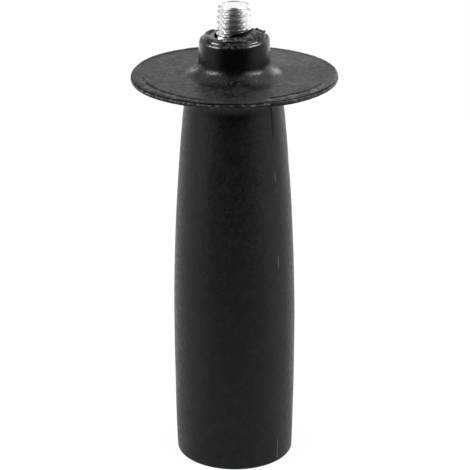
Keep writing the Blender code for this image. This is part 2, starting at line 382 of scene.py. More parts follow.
# %% [markdown]
# ## Turned forms by rule
# A lathe keeps one outline and turns it about an axis. Geometry Nodes can do just that: a grid has one column
# for each step of the turn and one row for each point of the outline, and each grid point is moved to where
# its outline point stands after that turn. Merge by Distance then closes the seam and the poles. Spinning an
# outline in bmesh would give the same body, but this tree serves the moulding and the bolt alike, and its
# sizes have names.

# %% Helpers for geometry trees
def new_tree(name, sizes):
    """A geometry tree with one named input for each size, and one for the material."""
    tree = bpy.data.node_groups.new(name, "GeometryNodeTree")
    face = tree.interface
    face.new_socket("Geometry", in_out="INPUT", socket_type="NodeSocketGeometry")
    for label, value in sizes.items():
        kind = "NodeSocketInt" if isinstance(value, int) else "NodeSocketFloat"
        face.new_socket(label, in_out="INPUT", socket_type=kind).default_value = value
    face.new_socket("Finish", in_out="INPUT", socket_type="NodeSocketMaterial")
    face.new_socket("Geometry", in_out="OUTPUT", socket_type="NodeSocketGeometry")
    entry = tree.nodes.new("NodeGroupInput")
    return tree, entry.outputs


def end_tree(tree, geometry, finish):
    """Real geometry with its material."""
    real = add_node(tree, "GeometryNodeRealizeInstances", {"Geometry": geometry})
    dressed = add_node(tree, "GeometryNodeSetMaterial", {"Geometry": real.outputs[0], "Material": finish})
    last = tree.nodes.new("NodeGroupOutput")
    tree.links.new(dressed.outputs[0], last.inputs[0])


def add_tree(carrier, tree, sizes, finish):
    """Puts the tree on an object as a modifier, and sets its inputs by their identifiers."""
    modifier = carrier.modifiers.new(tree.name, "NODES")
    modifier.node_group = tree
    for item in tree.interface.items_tree:
        if item.in_out == "INPUT" and item.name in sizes:
            modifier[item.identifier] = sizes[item.name]
        if item.in_out == "INPUT" and item.name == "Finish":
            modifier[item.identifier] = finish


def polar(tree):
    """Each point's radius, its angle from +X in radians, and its height."""
    place = tree.nodes.new("GeometryNodeInputPosition").outputs[0]
    parts = add_node(tree, "ShaderNodeSeparateXYZ", {"Vector": place})
    x, y, z = (parts.outputs[name] for name in "XYZ")
    radius = calc(tree, "SQRT", total(tree, times(tree, x, x), times(tree, y, y)))
    return radius, calc(tree, "ARCTAN2", y, x), z


def set_radius(tree, geometry, radius, angle, height, chosen=True):
    """Moves each chosen point to the radius, and keeps its angle and height."""
    x = times(tree, radius, calc(tree, "COSINE", angle))
    y = times(tree, radius, calc(tree, "SINE", angle))
    place = add_node(tree, "ShaderNodeCombineXYZ", {"X": x, "Y": y, "Z": height}).outputs[0]
    inputs = {"Geometry": geometry, "Selection": chosen, "Position": place}
    return add_node(tree, "GeometryNodeSetPosition", inputs).outputs[0]


# %% The lathe
def lathe_tree():
    tree, given = new_tree("Lathe", {"Steps": 360, "Weld": 0.002 * MM})
    outline = given["Geometry"]
    size = add_node(tree, "GeometryNodeAttributeDomainSize", {"Geometry": outline})
    rows = size.outputs["Point Count"]
    columns = calc(tree, "ADD", given["Steps"], 1)
    sheet = add_node(tree, "GeometryNodeMeshGrid", {"Vertices X": columns, "Vertices Y": rows})
    index = tree.nodes.new("GeometryNodeInputIndex").outputs[0]
    position = tree.nodes.new("GeometryNodeInputPosition").outputs[0]
    column = calc(tree, "FLOOR", calc(tree, "DIVIDE", calc(tree, "ADD", index, 0.5), rows))
    row = calc(tree, "SUBTRACT", index, calc(tree, "MULTIPLY", column, rows))
    sample = add_node(
        tree,
        "GeometryNodeSampleIndex",
        {"Geometry": outline, "Value": position, "Index": row},
        data_type="FLOAT_VECTOR",
    )
    point = add_node(tree, "ShaderNodeSeparateXYZ", {"Vector": sample.outputs["Value"]})
    angle = calc(tree, "MULTIPLY", column, calc(tree, "DIVIDE", 2 * math.pi, given["Steps"]))
    body = set_radius(tree, sheet.outputs["Mesh"], point.outputs["X"], angle, point.outputs["Z"])
    closed = add_node(tree, "GeometryNodeMergeByDistance", {"Geometry": body, "Distance": given["Weld"]})
    smooth = add_node(tree, "GeometryNodeSetShadeSmooth", {"Geometry": closed.outputs[0]})
    end_tree(tree, smooth.outputs[0], given["Finish"])
    return tree


# %% A hexagon, for the bolt's head and for its pocket in the moulding
def hexagon_tree():
    """Points at least as far out as the flats, between two heights, are drawn out to a hexagon's corners."""
    tree, given = new_tree("Hexagon", {"Apothem": 6.5 * MM, "Bottom": 0.0, "Top": 1.0, "Margin": 0.02 * MM})
    radius, angle, height = polar(tree)
    sixth = math.pi / 3
    turned = calc(tree, "ADD", angle, 2 * math.pi + sixth / 2)
    within = calc(tree, "SUBTRACT", calc(tree, "FLOORED_MODULO", turned, sixth), sixth / 2)
    drawn = calc(tree, "DIVIDE", radius, calc(tree, "COSINE", within))
    above = calc(tree, "GREATER_THAN", height, calc(tree, "SUBTRACT", given["Bottom"], given["Margin"]))
    below = calc(tree, "LESS_THAN", height, calc(tree, "ADD", given["Top"], given["Margin"]))
    inner = calc(tree, "GREATER_THAN", radius, calc(tree, "SUBTRACT", given["Apothem"], given["Margin"]))
    outer = calc(tree, "LESS_THAN", radius, calc(tree, "ADD", given["Apothem"], given["Margin"]))
    chosen = times(tree, above, below, inner, outer)
    body = set_radius(tree, given["Geometry"], drawn, angle, height, chosen)
    end_tree(tree, body, given["Finish"])
    return tree


# %% A screw thread, cut into a plain rod
def thread_tree():
    """Each point's distance from the ridge's helix says how deep the cut is there."""
    tree, given = new_tree(
        "Screw thread",
        {
            "Crest radius": 4.0 * MM,
            "Pitch": 1.25 * MM,
            "Depth": 0.77 * MM,
            "Start": 0.0,
            "Run-out": 1.0 * MM,
            "Crest flat": 0.05,
            "Root flat": 0.11,
        },
    )
    radius, angle, height = polar(tree)
    climb = calc(tree, "DIVIDE", calc(tree, "SUBTRACT", height, given["Start"]), given["Pitch"])
    turns = calc(tree, "SUBTRACT", climb, calc(tree, "DIVIDE", angle, 2 * math.pi))
    part = calc(tree, "FLOORED_MODULO", turns, 1.0)
    from_ridge = calc(tree, "SUBTRACT", 0.5, calc(tree, "ABSOLUTE", calc(tree, "SUBTRACT", part, 0.5)))
    flank_end = calc(tree, "SUBTRACT", 0.5, given["Root flat"])
    cut = fade(tree, from_ridge, given["Crest flat"], flank_end, smooth=False)
    begun = calc(tree, "ADD", given["Start"], given["Run-out"])
    cut = calc(tree, "MULTIPLY", cut, fade(tree, height, given["Start"], begun))
    left = calc(tree, "SUBTRACT", given["Crest radius"], calc(tree, "MULTIPLY", cut, given["Depth"]))
    body = set_radius(tree, given["Geometry"], calc(tree, "MINIMUM", radius, left), angle, height)
    end_tree(tree, body, given["Finish"])
    return tree


lathe = lathe_tree()
hexagon = hexagon_tree()
thread = thread_tree()
print("trees:", ", ".join(tree.name for tree in (lathe, hexagon, thread)))

# %% [markdown]
# ## Outlines
# The outline of a turned form is a row of (radius, height) points from the axis to the axis. Round stretches
# come from `arc` and long ones from `run`, which puts in points at even steps, because the small faults that
# are added later need points to move.

# %% Helpers for outlines
def arc(centre, radius, start, end, steps):
    """Points of a circular arc, its angles in degrees from straight out."""
    turns = [math.radians(start + (end - start) * i / steps) for i in range(steps + 1)]
    return [(centre[0] + radius * math.cos(t), centre[1] + radius * math.sin(t)) for t in turns]


def run(start, end, steps):
    """Points at even steps on a straight line, without its first."""
    shares = [i / steps for i in range(1, steps + 1)]
    return [(start[0] + (end[0] - start[0]) * s, start[1] + (end[1] - start[1]) * s) for s in shares]


def onwards(points, end, steps):
    """Carries an outline straight on to a new point."""
    points += run(points[-1], end, steps)


def turn(name, outline, finish, steps, extra=()):
    """Turns an outline into a closed mesh, runs further trees on it, and keeps only the plain mesh."""
    data = bpy.data.meshes.new(name + "_outline")
    points = [(radius * MM, 0.0, height * MM) for radius, height in outline]
    data.from_pydata(points, [(i, i + 1) for i in range(len(points) - 1)], [])
    carrier = bpy.data.objects.new(name + "_outline", data)
    bpy.context.scene.collection.objects.link(carrier)
    for tree, sizes in ((lathe, {"Steps": steps}), *extra):
        add_tree(carrier, tree, sizes, finish)
    bpy.context.view_layer.update()
    shaped = carrier.evaluated_get(bpy.context.evaluated_depsgraph_get())
    piece = bpy.data.objects.new(name, bpy.data.meshes.new_from_object(shaped))
    piece.data.name = name
    bpy.context.scene.collection.objects.link(piece)
    bpy.data.objects.remove(carrier)
    point_outwards(piece.data)
    print(f"{name}: {len(outline)} outline points, {len(piece.data.polygons)} faces")
    return piece


def point_outwards(mesh):
    """Turns all faces round if the closed mesh is inside out, which its signed volume tells."""
    mesh.calc_loop_triangles()
    volume = 0.0
    for triangle in mesh.loop_triangles:
        a, b, c = (mesh.vertices[i].co for i in triangle.vertices)
        volume += a.dot(b.cross(c))
    if volume < 0:
        mesh.flip_normals()


# %% [markdown]
# ## The plastic
# The handle is black with a fine spark-eroded grain. Handling has left the flange greyer and more mottled
# than the grip, with a dusty patch and a few scratches. Its edges are scuffed pale, and part of that pale grey
# is painted highlight. Dirt lies in the parting lines, and crevices, grooves and gaps are darkened further as
# painted shade. Marks that belong to an edge come from three values that the mesh carries: wear, which also
# carries the painted highlights, dirt, which also carries the painted shade, and polish. They are set where
# the shape is made. All the rest is noise on Object coordinates, at the scale of the real marks. A painted
# picture could carry them too, but it would need an unwrapped mesh, and would show its pixels close up.

# %% Helpers for finishes
def noise_at(tree, place, scale, detail=3.0, roughness=0.55):
    node = add_node(
        tree, "ShaderNodeTexNoise", {"Vector": place, "Scale": scale, "Detail": detail, "Roughness": roughness}
    )
    return node.outputs["Fac"]


def mesh_value(tree, name):
    return add_node(tree, "ShaderNodeAttribute", attribute_name=name).outputs["Fac"]


def mix_colour(tree, share, first, second):
    node = add_node(tree, "ShaderNodeMix", data_type="RGBA")
    feed(tree, node.inputs[0], share)
    feed(tree, node.inputs[6], first)
    feed(tree, node.inputs[7], second)
    return node.outputs[2]


def new_finish(name):
    """A material, its tree, its main shader, and the Object coordinates."""
    material = bpy.data.materials.new(name)
    material.use_nodes = True
    tree = material.node_tree
    place = add_node(tree, "ShaderNodeTexCoord").outputs["Object"]
    return material, tree, tree.nodes["Principled BSDF"], place


# %% Greys of the plastic: mottling with painted shade under the flange, scuffs with painted highlights, the dull neck
GRIP_MOTTLING = 0.03
FLANGE_BLOTCHES = 0.18
FLANGE_SPECKS = 0.32
NECK_GREY = 0.36


def flange_share(tree, height):
    """1 on the flange, fading out under it and into the collar."""
    from_underside = fade(tree, height, (FLANGE_UNDERSIDE - 0.5) * MM, (FLANGE_TOP - 0.3) * MM)
    above = fade(tree, height, (FLANGE_TOP + 0.2) * MM, (FLANGE_TOP + 2.6) * MM)
    return calc(tree, "SUBTRACT", from_underside, above)


def mottling(tree, place, height, on_flange):
    """Wide blotches and fine specks: a trace of both on the grip, fading out towards the neck as painted shade
    under the flange, and more on the flange.
    """
    trace = fade(tree, height, 76.0 * MM, 84.0 * MM, GRIP_MOTTLING, 0.0)
    blotches = fade(tree, noise_at(tree, place, 300.0, 6.0, 0.75), 0.42, 0.7)
    specks = fade(tree, noise_at(tree, place, 2200.0, 3.0), 0.5, 0.68)
    blotched = calc(tree, "MAXIMUM", trace, fade(tree, on_flange, 0.0, 1.0, 0.0, FLANGE_BLOTCHES))
    specked = calc(tree, "MAXIMUM", trace, fade(tree, on_flange, 0.4, 1.0, 0.0, FLANGE_SPECKS))
    return total(tree, times(tree, blotches, blotched), times(tree, specks, specked))


def dull_neck(tree, height):
    """The neck right under the flange is an even, lighter grey."""
    neck = fade(tree, height, 85.4 * MM, 87.8 * MM, 0.0, NECK_GREY)
    return times(tree, neck, fade(tree, height, 90.4 * MM, 91.0 * MM, 1.0, 0.0))


def scuffs(tree, place, wear):
    # Pale grey where the mesh's wear is: real scuffs, and painted highlights on the collar's edge, the ledges
    # and the flange's rim.
    return times(tree, wear, fade(tree, noise_at(tree, place, 1300.0, 3.0, 0.6), 0.4, 0.6, 0.15, 1.3))


# %% Greys of the plastic: a dusty patch and three scratches
DUST_CENTRE = (14.0, 12.0, 0.0)
DUST_REACH = (3.0, 13.0)  # from its centre: where the dust begins to thin out, and where it ends
DUST_GREY = 0.5
SCRATCHES = (((-7.2, -16.7), (-4.4, -14.5)), ((-17.4, 9.8), (-15.8, 8.1)), ((10.9, -7.1), (13.5, -9.4)))
SCRATCH_GREY = 0.5


def seen_from_above(tree, place):
    return vector_calc(tree, "MULTIPLY", place, (1.0, 1.0, 0.0))


def dust(tree, place, on_flange):
    away = vector_calc(tree, "DISTANCE", seen_from_above(tree, place), tuple(Vector(DUST_CENTRE) * MM))
    patch = times(tree, fade(tree, away, DUST_REACH[0] * MM, DUST_REACH[1] * MM, DUST_GREY, 0.0), on_flange)
    return times(tree, patch, fade(tree, noise_at(tree, place, 900.0, 5.0, 0.7), 0.35, 0.65))


def scratch(tree, place, start, end, on_flange):
    """Grey on a straight line between two points of the flange, given in millimetres."""
    first = Vector((start[0], start[1], 0.0)) * MM
    whole = Vector((end[0], end[1], 0.0)) * MM - first
    to_point = vector_calc(tree, "SUBTRACT", seen_from_above(tree, place), tuple(first))
    share = vector_calc(tree, "DOT_PRODUCT", to_point, tuple(whole / whole.length_squared))
    share = fade(tree, share, 0.0, 1.0, smooth=False)
    foot = add_node(tree, "ShaderNodeVectorMath", {0: tuple(whole), "Scale": share}, operation="SCALE")
    off = vector_calc(tree, "DISTANCE", to_point, foot.outputs[0])
    return times(tree, fade(tree, off, 0.04 * MM, 0.22 * MM, 1.0, 0.0), on_flange, SCRATCH_GREY)


# %% The parting line down the grip
SEAM_AZIMUTH = 47.0
SEAM_WIDTH = 0.2
SEAM_END = 80.0  # the line is open above this height, and rubbed down below it
SEAM_RUBBED_GREY = 0.4


def parting_line(tree, place, height):
    """Where the whole line is, and where it is open."""
    angle = math.radians(SEAM_AZIMUTH)
    off = vector_calc(tree, "DOT_PRODUCT", place, (math.cos(angle), math.sin(angle), 0.0))
    line = fade(tree, calc(tree, "ABSOLUTE", off), SEAM_WIDTH * 0.5 * MM, SEAM_WIDTH * MM, 1.0, 0.0)
    under_flange = fade(tree, height, (FLANGE_UNDERSIDE - 0.4) * MM, FLANGE_UNDERSIDE * MM, 1.0, 0.0)
    line = times(tree, line, under_flange)
    return line, times(tree, line, fade(tree, height, (SEAM_END - 1.5) * MM, (SEAM_END + 1.5) * MM))


def rubbed_line(tree, place, line, open_line):
    """Pale where the lower line was rubbed down, in some stretches of it only."""
    stretches = fade(tree, noise_at(tree, place, 110.0, 2.0), 0.56, 0.62, 0.0, SEAM_RUBBED_GREY)
    return times(tree, calc(tree, "SUBTRACT", line, open_line), stretches)


# %% Gloss and grain of the plastic
PLASTIC_ROUGHNESS = (0.36, 0.50)
COLLAR_GLOSS = 0.1
FILLET_GLOSS = 0.14
DIRT_GLOSS = 0.12
POLISH_GLOSS = 0.2
SMOOTHEST = 0.12
GRAIN_SCALE = 3400.0
GRAIN_HEIGHT = 0.035


def plastic_roughness(tree, place, height, dirt, polish):
    """Uneven all over, and a little glossier above the flange."""
    collar = fade(tree, height, (FLANGE_TOP + 2.2) * MM, (FLANGE_TOP + 3.4) * MM, 0.0, -COLLAR_GLOSS)
    fillet = fade(tree, height, (FLANGE_TOP + 0.1) * MM, (FLANGE_TOP + 0.6) * MM, 0.0, -FILLET_GLOSS)
    matt = fade(tree, noise_at(tree, place, 1000.0, 4.0), 0.3, 0.7, *PLASTIC_ROUGHNESS)
    roughness = total(tree, matt, total(tree, collar, fillet))
    roughness = calc(tree, "SUBTRACT", roughness, times(tree, dirt, DIRT_GLOSS))
    roughness = calc(tree, "SUBTRACT", roughness, times(tree, polish, POLISH_GLOSS))
    return calc(tree, "MAXIMUM", roughness, SMOOTHEST)


def plastic_grain(tree, place, polish):
    """The spark-eroded grain over soft waves, which polish takes away."""
    waves = noise_at(tree, place, 1500.0, 3.0, 0.5)
    relief = total(tree, noise_at(tree, place, GRAIN_SCALE, 2.0, 0.6), times(tree, waves, 1.1))
    strength = calc(tree, "SUBTRACT", 1.0, times(tree, polish, 0.97))
    inputs = {"Height": relief, "Distance": GRAIN_HEIGHT * MM, "Strength": strength}
    return add_node(tree, "ShaderNodeBump", inputs).outputs[0]


# %% Black plastic
PLASTIC = (0.0022, 0.0022, 0.0024, 1.0)
# The pale grey of mottling, dust, scratches and scuffs, and of the painted highlights.
SCUFFED = (0.12, 0.12, 0.122, 1.0)


def plastic_finish():
    material, tree, shader, place = new_finish("black_plastic")
    shader.inputs["Specular IOR Level"].default_value = 0.27
    height = add_node(tree, "ShaderNodeSeparateXYZ", {"Vector": place}).outputs["Z"]
    on_flange = flange_share(tree, height)
    wear, dirt, polish = (mesh_value(tree, name) for name in ("wear", "dirt", "polish"))
    line, open_line = parting_line(tree, place, height)
    dirt = calc(tree, "MINIMUM", total(tree, dirt, open_line), 1.0)

    greys = [mottling(tree, place, height, on_flange), dull_neck(tree, height), scuffs(tree, place, wear)]
    greys.append(dust(tree, place, on_flange))
    greys += [scratch(tree, place, start, end, on_flange) for start, end in SCRATCHES]
    greys.append(rubbed_line(tree, place, line, open_line))
    # Dirt, which also carries the painted shade, takes the greys away, down to the black.
    greyed = times(tree, total(tree, *greys), calc(tree, "SUBTRACT", 1.0, dirt))
    colour = mix_colour(tree, calc(tree, "MINIMUM", greyed, 1.0), PLASTIC, SCUFFED)
    feed(tree, shader.inputs["Base Color"], colour)
    feed(tree, shader.inputs["Roughness"], plastic_roughness(tree, place, height, dirt, polish))
    feed(tree, shader.inputs["Normal"], plastic_grain(tree, place, polish))
    return material


plastic = plastic_finish()
print(f"{plastic.name}: {len(plastic.node_tree.nodes)} nodes")

# %% [markdown]
# ## The bolt's steel
# Bright zinc over a rolled thread is shiny but not a mirror: the rollers leave fine lines along the thread,
# and the plating is slightly milky. The roots are darker and duller than the crests. A stretch of the front
# above the ring is darkened as painted shade and a painted reflection of the black ring. Stretched noise in a
# bump gives the lines; cutting them into the mesh would take more triangles than they are worth.

# %% Zinc-plated steel
ZINC = (0.95, 0.955, 0.96, 1.0)
# Dull zinc, also used as painted shade low on the thread's front.
DULL_ZINC = (0.38, 0.38, 0.39, 1.0)
ZINC_ROUGHNESS = (0.27, 0.34)
ZINC_CLOUDS = 0.04
ROLLED_LINES = 0.001  # their height


def zinc_finish():
    material, tree, shader, place = new_finish("zinc_steel")
    shader.inputs["Metallic"].default_value = 1.0
    clouds = times(tree, fade(tree, noise_at(tree, place, 700.0, 4.0), 0.4, 0.7), ZINC_CLOUDS)
    # Dulled by clouds and dirt, and darkened by the painted shade low on the front.
    dulled = calc(tree, "MINIMUM", total(tree, clouds, mesh_value(tree, "dirt")), 1.0)
    feed(tree, shader.inputs["Base Color"], mix_colour(tree, dulled, ZINC, DULL_ZINC))
    feed(tree, shader.inputs["Roughness"], fade(tree, dulled, 0.0, 1.0, *ZINC_ROUGHNESS))
    stretched = add_node(tree, "ShaderNodeMapping", {"Vector": place, "Scale": (1.0, 1.0, 9.0)}).outputs[0]
    lines = noise_at(tree, stretched, 900.0, 3.0)
    bump = add_node(tree, "ShaderNodeBump", {"Height": lines, "Distance": ROLLED_LINES * MM, "Strength": 1.0})
    feed(tree, shader.inputs["Normal"], bump.outputs[0])
    return material


zinc = zinc_finish()
print(f"{zinc.name}: {len(zinc.node_tree.nodes)} nodes")

# %% [markdown]
# ## The moulding's outline
# The outline starts at the top of the hollow core, runs down and round the open end, up the barrel, round the
# rim, over the collar and its ring, and down beside the bolt to the pocket of its head. The rim has a bead on
# its top edge, a crevice where the mould halves meet, and a ridge of flash below.

# %% Outline of the core and the grip
CORE_ROOF = 6.0  # plastic between the core's top and the pocket of the bolt's head
MOUTH_CHAMFER = 0.5


def grip_radius(height):
    """Widest at one height, and falling away as a parabola above and below it."""
    end, reach = GRIP_NECK_RADIUS, FLANGE_UNDERSIDE - GRIP_WIDEST_HEIGHT
    if height < GRIP_WIDEST_HEIGHT:
        end, reach = GRIP_BASE_RADIUS, GRIP_WIDEST_HEIGHT
    return GRIP_WIDEST_RADIUS + (end - GRIP_WIDEST_RADIUS) * ((height - GRIP_WIDEST_HEIGHT) / reach) ** 2


def core_outline():
    pocket_floor = HEAD_BOTTOM - BOLT_CLEARANCE
    top = pocket_floor - CORE_ROOF
    radius = CORE_MOUTH_RADIUS - math.tan(math.radians(CORE_DRAFT)) * top
    dome = radius / 2
    points = [(0.0, top)]
    onwards(points, (radius - dome, top), 3)
    points += arc((radius - dome, top - dome), dome, 90, 0, 8)[1:]
    onwards(points, (CORE_MOUTH_RADIUS, MOUTH_CHAMFER), 12)
    onwards(points, (CORE_MOUTH_RADIUS + MOUTH_CHAMFER, 0.0), 1)
    return points


def barrel_outline():
    points = arc((GRIP_BASE_RADIUS - GRIP_BASE_EDGE, GRIP_BASE_EDGE), GRIP_BASE_EDGE, -90, 0, 7)
    top = FLANGE_UNDERSIDE - NECK_FILLET
    steps = 62
    for i in range(1, steps + 1):
        height = GRIP_BASE_EDGE + (top - GRIP_BASE_EDGE) * i / steps
        points.append((grip_radius(height), height))
    points += arc((grip_radius(top) + NECK_FILLET, top), NECK_FILLET, 180, 90, 8)[1:]
    return points


# %% Outline of the rim
RIM = FLANGE_RADIUS
CREVICE = FLANGE_TOP - 0.4
FLASH = FLANGE_UNDERSIDE + 0.72
FINE_LINE = FLANGE_UNDERSIDE + 0.45


def rim_outline():
    points = arc((RIM - 0.46, FLANGE_UNDERSIDE + 0.36), 0.36, -90, 0, 6)
    points += [
        (RIM - 0.08, FLANGE_UNDERSIDE + 0.40),
        (RIM - 0.14, FINE_LINE),
        (RIM - 0.07, FLANGE_UNDERSIDE + 0.50),
        (RIM - 0.03, FLANGE_UNDERSIDE + 0.56),
        (RIM - 0.01, FLANGE_UNDERSIDE + 0.64),
        (RIM, FLASH),
        (RIM - 0.01, FLANGE_UNDERSIDE + 0.80),
        (RIM - 0.04, FLANGE_UNDERSIDE + 0.87),
        (RIM - 0.12, CREVICE - 0.08),
        (RIM - 0.32, CREVICE - 0.05),
        (RIM - 0.46, CREVICE),
        (RIM - 0.42, CREVICE + 0.09),
        (RIM - 0.28, CREVICE + 0.14),
        (RIM - 0.13, CREVICE + 0.17),
        (RIM - 0.15, CREVICE + 0.20),
        (RIM - 0.27, CREVICE + 0.24),
        (RIM - 0.43, CREVICE + 0.30),
        (RIM - 0.60, CREVICE + 0.35),
        (RIM - 0.80, CREVICE + 0.385),
        (RIM - 1.00, FLANGE_TOP),
    ]
    for i in range(1, 13):
        points.append((RIM - 1.0 - 0.2 * i, FLANGE_TOP))
    return points


# %% Outline of the collar, its ring and the hole for the bolt
def collar_outline():
    lean = math.tan(math.radians(COLLAR_DRAFT))
    foot = COLLAR_RADIUS + lean * (COLLAR_TOP - FLANGE_TOP - COLLAR_FILLET)
    points = arc((foot + COLLAR_FILLET, FLANGE_TOP + COLLAR_FILLET), COLLAR_FILLET, 270, 180, 14)
    onwards(points, (COLLAR_RADIUS, COLLAR_TOP - COLLAR_EDGE), 10)
    points += [
        (COLLAR_RADIUS - 0.02, COLLAR_TOP - 0.52),
        (COLLAR_RADIUS - 0.05, COLLAR_TOP - 0.44),
        (COLLAR_RADIUS - 0.09, COLLAR_TOP - 0.34),
        (COLLAR_RADIUS - 0.13, COLLAR_TOP - 0.24),
        (COLLAR_RADIUS - 0.17, COLLAR_TOP - 0.15),
        (COLLAR_RADIUS - 0.24, COLLAR_TOP - 0.07),
        (COLLAR_RADIUS - 0.36, COLLAR_TOP - 0.02),
        (COLLAR_RADIUS - COLLAR_EDGE, COLLAR_TOP),
    ]
    return points


def ring_outline():
    points = [
        (RING_RADIUS + 0.22, COLLAR_TOP - 0.03),
        (RING_RADIUS + 0.12, COLLAR_TOP - 0.16),
        (RING_RADIUS + 0.04, COLLAR_TOP - 0.16),
        (RING_RADIUS, COLLAR_TOP - 0.02),
        (RING_RADIUS, COLLAR_TOP + 0.07),
        (RING_RADIUS - 0.004, COLLAR_TOP + 0.08),
        (RING_RADIUS - 0.04, COLLAR_TOP + 0.165),
        (RING_RADIUS - 0.08, COLLAR_TOP + 0.26),
        (RING_RADIUS - 0.11, COLLAR_TOP + 0.335),
        (RING_RADIUS - 0.116, COLLAR_TOP + 0.345),
        (RING_RADIUS - 0.20, COLLAR_TOP + 0.36),
        (RING_WALL + 0.03, COLLAR_TOP + 0.36),
        (RING_WALL, COLLAR_TOP + 0.40),
        (RING_WALL, COLLAR_TOP + 0.44),
        (RING_WALL, RING_TOP - 0.26),
        (RING_WALL - 0.01, RING_TOP - 0.16),
        (RING_WALL - 0.03, RING_TOP - 0.07),
        (RING_WALL - 0.10, RING_TOP + 0.01),
        (RING_WALL - 0.22, RING_TOP + 0.05),
        (RING_WALL - 0.32, RING_TOP + 0.05),
        (RING_WALL - 0.40, RING_TOP + 0.04),
        (RING_WALL - 0.52, RING_TOP - 0.1),
        (RING_WALL - 0.66, RING_TOP - 0.12),
        (RING_WALL - 0.80, RING_TOP),
    ]
    onwards(points, (RECESS_RADIUS + 0.8, RING_TOP), 3)
    onwards(points, (RECESS_RADIUS + 0.1, RING_TOP), 9)
    points += arc((RECESS_RADIUS + 0.1, RING_TOP - 0.1), 0.1, 90, 180, 3)[1:]
    onwards(points, (RECESS_RADIUS, RING_TOP - RECESS_DEPTH), 8)
    return points


def pocket_outline():
    bore = THREAD_RADIUS + BOLT_CLEARANCE
    apothem = HEAD_APOTHEM + BOLT_CLEARANCE
    points = [(bore, RING_TOP - RECESS_DEPTH)]
    onwards(points, (bore, head_top + BOLT_CLEARANCE), 4)
    onwards(points, (apothem, head_top + BOLT_CLEARANCE), 2)
    onwards(points, (apothem, HEAD_BOTTOM - BOLT_CLEARANCE), 3)
    onwards(points, (0.0, HEAD_BOTTOM - BOLT_CLEARANCE), 3)
    return points


def moulding_outline():
    points = core_outline() + barrel_outline()
    onwards(points, (RIM - 0.6, FLANGE_UNDERSIDE), 7)
    points += rim_outline()
    collar = collar_outline()
    onwards(points, collar[0], 12)
    return points + collar[1:] + ring_outline() + pocket_outline()


# %% The clean moulding
MOULDING_STEPS = 360
pocket_sizes = {
    "Apothem": (HEAD_APOTHEM + BOLT_CLEARANCE) * MM,
    "Bottom": (HEAD_BOTTOM - BOLT_CLEARANCE) * MM,
    "Top": (head_top + BOLT_CLEARANCE) * MM,
}
moulding = turn("handle_body", moulding_outline(), plastic, MOULDING_STEPS, ((hexagon, pocket_sizes),))

# %% [markdown]
# ## Faults of the mould
# A moulded part is never as clean as its drawing. Its faults follow the mould: they sit on the parting lines
# and round the bolt. They could be sculpted by hand, but moving the points by rule gives the same result on
# each run. Each function below moves the points of one region, by its angle, radius and height. Azimuth is in
# degrees to the right of the camera's side, as seen from above. The same functions mark wear, dirt and
# polish, and with them the painted highlights that ride on wear and the painted shade that rides on dirt.

# %% Helpers for moving points
def smooth(value, low, high):
    """0 below low, 1 above high, and an even S between them."""
    share = np.clip((value - low) / (high - low), 0.0, 1.0)
    return share * share * (3 - 2 * share)


def near(value, centre, width):
    """1 at the centre, fading away over the width on both sides."""
    return np.exp(-(((value - centre) / width) ** 2))


def lumps(points, size, seed):
    """Soft noise of about -1 to 1, its lumps about as wide as size."""
    shift = Vector((seed * 7.3, seed * 3.1, seed * 5.7))
    return np.array([noise.noise(Vector(point) / size + shift) for point in points])


def along(azimuth, stations):
    """A value that follows the stations (azimuth, value) round the axis."""
    return np.interp(azimuth, [at for at, _ in stations], [value for _, value in stations])


class Sculpt:
    """A mesh's points in millimetres, where they stood at first, and their wear (with painted highlights),
    dirt (with painted shade) and polish.
    """

    def __init__(self, mesh):
        self.mesh = mesh
        flat = np.zeros(len(mesh.vertices) * 3, np.float32)
        mesh.vertices.foreach_get("co", flat)
        self.points = flat.reshape(-1, 3).astype(float) / MM
        self.radius = np.hypot(self.points[:, 0], self.points[:, 1])
        self.azimuth = np.degrees(np.arctan2(self.points[:, 0], -self.points[:, 1]))
        self.height = self.points[:, 2].copy()
        self.out = self.points[:, :2] / np.maximum(self.radius, 1e-6)[:, None]
        self.wear = np.zeros(len(self.points))
        self.dirt = np.zeros(len(self.points))
        self.polish = np.zeros(len(self.points))

    def push(self, outwards=0.0, up=0.0):
        self.points[:, :2] += self.out * np.reshape(outwards * np.ones(len(self.points)), (-1, 1))
        self.points[:, 2] += up

    def write(self):
        self.mesh.vertices.foreach_set("co", (self.points * MM).astype(np.float32).ravel())
        for name, values in (("wear", self.wear), ("dirt", self.dirt), ("polish", self.polish)):
            layer = self.mesh.attributes.new(name, "FLOAT", "POINT")
            layer.data.foreach_set("value", np.clip(values, 0.0, 1.0).astype(np.float32))
        self.mesh.update()


body = Sculpt(moulding.data)
print(f"{len(body.points)} points to move")

# %% [markdown]
# The grip is thick, so it shrank unevenly and leans a little. One half of the mould stood a trace proud of
# the other, which leaves a step beside the parting line, and something knocked a nick into the right side.

# %% The grip
SINK_MARKS = 0.07
LEAN_AT_BASE = 0.08
LEAN_AT_NECK = -0.16
SEAM_STEP = 0.14
NICK_AZIMUTH = 88.0
NICK_HEIGHT = 71.0
NICK_DEPTH = 0.34


